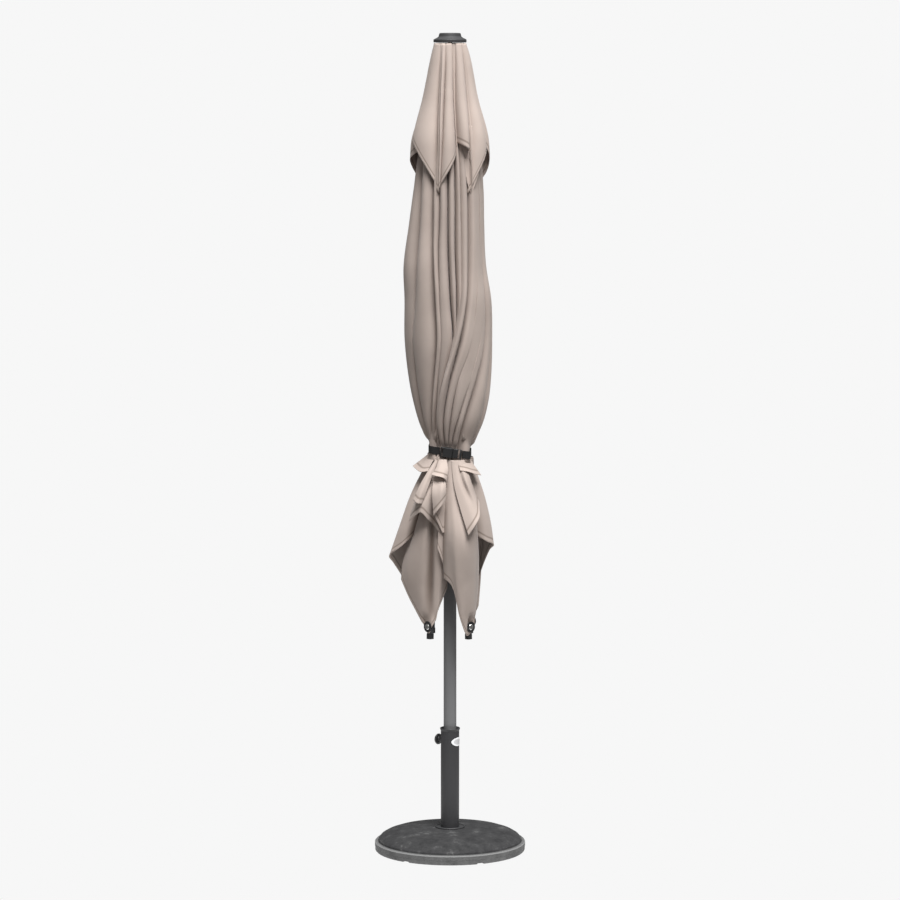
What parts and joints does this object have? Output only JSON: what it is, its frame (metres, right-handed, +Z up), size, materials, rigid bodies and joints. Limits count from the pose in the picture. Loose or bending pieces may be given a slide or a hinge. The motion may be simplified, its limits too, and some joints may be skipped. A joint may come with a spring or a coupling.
{
  "type": "market parasol",
  "caption": "Square centre-pole market parasol with a vented canopy, furled and tied, standing in a round domed concrete base with a clamped socket tube.",
  "frame": {"origin": "on the floor at the centre of the round base", "axes": "+Z up along the pole; the four ribs lie on the diagonals of X and Y, so the open canopy's sides are square to X and Y; the buckle faces -Y"},
  "size_m": [0.45, 0.45, 2.43],
  "materials": {
    "concrete": "matte",
    "socket_paint": "satin",
    "pole_paint": "satin",
    "rib_paint": "satin",
    "black_plastic": "satin",
    "cap_plastic": "satin",
    "bright_steel": "polished",
    "plate_white": "satin",
    "canopy_fabric": "matte",
    "strap_webbing": "matte"
  },
  "bodies": {
    "stand": {"base_disc": "concrete", "socket_tube": "socket_paint", "socket_flange": "socket_paint", "foot_collar": "socket_paint", "clamp_boss": "socket_paint", "blank_plate": "plate_white"},
    "clamp_screw": {"clamp_bolt": "bright_steel"},
    "clamp_grip": {"clamp_knob": "black_plastic"},
    "pole_foot": {"pole_foot_plug": "black_plastic"},
    "pole": {"pole_tube": "pole_paint", "top_hub": "black_plastic", "canopy_crown": "canopy_fabric", "finial_cap": "cap_plastic", "hub_pin_1": "bright_steel", "hub_pin_2": "bright_steel", "hub_pin_3": "bright_steel", "hub_pin_4": "bright_steel"},
    "rib_arm_1": {"rib_1": "rib_paint", "rib_end_cap_1": "black_plastic", "rib_bracket_1": "black_plastic", "corner_washer_1": "black_plastic", "corner_screw_1": "bright_steel", "canopy_quarter_1": "canopy_fabric", "vent_quarter_1": "canopy_fabric"},
    "rib_arm_2": {"rib_2": "rib_paint", "rib_end_cap_2": "black_plastic", "rib_bracket_2": "black_plastic", "corner_washer_2": "black_plastic", "corner_screw_2": "bright_steel", "canopy_quarter_2": "canopy_fabric", "vent_quarter_2": "canopy_fabric"},
    "rib_arm_3": {"rib_3": "rib_paint", "rib_end_cap_3": "black_plastic", "rib_bracket_3": "black_plastic", "corner_washer_3": "black_plastic", "corner_screw_3": "bright_steel", "canopy_quarter_3": "canopy_fabric", "vent_quarter_3": "canopy_fabric"},
    "rib_arm_4": {"rib_4": "rib_paint", "rib_end_cap_4": "black_plastic", "rib_bracket_4": "black_plastic", "corner_washer_4": "black_plastic", "corner_screw_4": "bright_steel", "canopy_quarter_4": "canopy_fabric", "vent_quarter_4": "canopy_fabric"},
    "strut_arm_1": {"strut_1": "rib_paint"},
    "strut_arm_2": {"strut_2": "rib_paint"},
    "strut_arm_3": {"strut_3": "rib_paint"},
    "strut_arm_4": {"strut_4": "rib_paint"},
    "runner_body": {"runner": "black_plastic"},
    "lock_pin": {"locking_pin": "bright_steel"},
    "tie_left": {"strap_left": "strap_webbing", "buckle_female": "black_plastic"},
    "tie_right": {"strap_right": "strap_webbing", "buckle_male": "black_plastic"},
    "prong_upper": {"buckle_prong_upper": "black_plastic"},
    "prong_lower": {"buckle_prong_lower": "black_plastic"}
  },
  "joints": [
    {"name": "pole_lift", "type": "slide", "parent": "stand", "child": "pole_foot", "axis": [0, 0, 1], "range_m": [0, 0.33]},
    {"name": "pole_turn", "type": "hinge", "parent": "pole_foot", "child": "pole", "pos_m": [0, 0, 0.02], "axis": [0, 0, 1], "continuous": true},
    {"name": "clamp_travel", "type": "slide", "parent": "stand", "child": "clamp_screw", "axis": [-0.8387, 0.5446, 0], "range_m": [0, 0.005]},
    {"name": "clamp_turn", "type": "hinge", "parent": "clamp_screw", "child": "clamp_grip", "pos_m": [-0.03774, 0.02451, 0.331], "axis": [-0.8387, 0.5446, 0], "range_deg": [-5, 1445]},
    {"name": "rib_1_open", "type": "hinge", "parent": "pole", "child": "rib_arm_1", "pos_m": [-0.02404, 0.02404, 2.378], "axis": [0.7071, 0.7071, 0], "range_deg": [0, 70], "deforming": ["strap_left", "strap_right", "buckle_female", "buckle_male", "buckle_prong_upper", "buckle_prong_lower"]},
    {"name": "rib_2_open", "type": "hinge", "parent": "pole", "child": "rib_arm_2", "pos_m": [0.02404, 0.02404, 2.378], "axis": [0.7071, -0.7071, 0], "range_deg": [-1, 71]},
    {"name": "rib_3_open", "type": "hinge", "parent": "pole", "child": "rib_arm_3", "pos_m": [0.02404, -0.02404, 2.378], "axis": [-0.7071, -0.7071, 0], "range_deg": [-1, 71]},
    {"name": "rib_4_open", "type": "hinge", "parent": "pole", "child": "rib_arm_4", "pos_m": [-0.02404, -0.02404, 2.378], "axis": [-0.7071, 0.7071, 0], "range_deg": [-1, 71]},
    {"name": "strut_1_fold", "type": "hinge", "parent": "rib_arm_1", "child": "strut_arm_1", "pos_m": [-0.02765, 0.02765, 1.62787], "axis": [-0.7071, -0.7071, 0], "range_deg": [-2, 142]},
    {"name": "strut_2_fold", "type": "hinge", "parent": "rib_arm_2", "child": "strut_arm_2", "pos_m": [0.02765, 0.02765, 1.62787], "axis": [-0.7071, 0.7071, 0], "range_deg": [-2, 142]},
    {"name": "strut_3_fold", "type": "hinge", "parent": "rib_arm_3", "child": "strut_arm_3", "pos_m": [0.02765, -0.02765, 1.62787], "axis": [0.7071, 0.7071, 0], "range_deg": [-2, 142]},
    {"name": "strut_4_fold", "type": "hinge", "parent": "rib_arm_4", "child": "strut_arm_4", "pos_m": [-0.02765, -0.02765, 1.62787], "axis": [0.7071, -0.7071, 0], "range_deg": [-2, 142]},
    {"name": "runner_level", "type": "hinge", "parent": "strut_arm_1", "child": "runner_body", "pos_m": [-0.02404, 0.02404, 0.87774], "axis": [0.7071, 0.7071, 0], "range_deg": [-1, 71]},
    {"name": "lock_pin_lift", "type": "slide", "parent": "runner_body", "child": "lock_pin", "axis": [0, 0, 1], "range_m": [0, 0.06]},
    {"name": "tie_left_swing", "type": "hinge", "parent": "rib_arm_1", "child": "tie_left", "pos_m": [-0.008, 0.06014, 1.20312], "axis": [-0.1392, 0, -0.9903], "range_deg": [0, 10]},
    {"name": "tie_right_swing", "type": "hinge", "parent": "rib_arm_1", "child": "tie_right", "pos_m": [-0.008, 0.06014, 1.20312], "axis": [0.1392, 0, 0.9903], "range_deg": [0, 10]},
    {"name": "prong_upper_squeeze", "type": "hinge", "parent": "tie_right", "child": "prong_upper", "pos_m": [0.01414, -0.06629, 1.20885], "axis": [0, -1, 0], "range_deg": [0, 6], "stiffness_Nm_per_rad": 0.02},
    {"name": "prong_lower_squeeze", "type": "hinge", "parent": "tie_right", "child": "prong_lower", "pos_m": [0.0117, -0.06629, 1.19152], "axis": [0, 1, 0], "range_deg": [0, 6], "stiffness_Nm_per_rad": 0.02}
  ],
  "couplings": [
    {"joint": "clamp_turn", "follows": "clamp_travel", "rad_per_m": 5026.5},
    {"joint": "rib_2_open", "follows": "rib_1_open", "ratio": 1},
    {"joint": "rib_3_open", "follows": "rib_1_open", "ratio": 1},
    {"joint": "rib_4_open", "follows": "rib_1_open", "ratio": 1},
    {"joint": "strut_1_fold", "follows": "rib_1_open", "ratio": 2},
    {"joint": "strut_2_fold", "follows": "rib_1_open", "ratio": 2},
    {"joint": "strut_3_fold", "follows": "rib_1_open", "ratio": 2},
    {"joint": "strut_4_fold", "follows": "rib_1_open", "ratio": 2},
    {"joint": "runner_level", "follows": "rib_1_open", "ratio": 1}
  ]
}
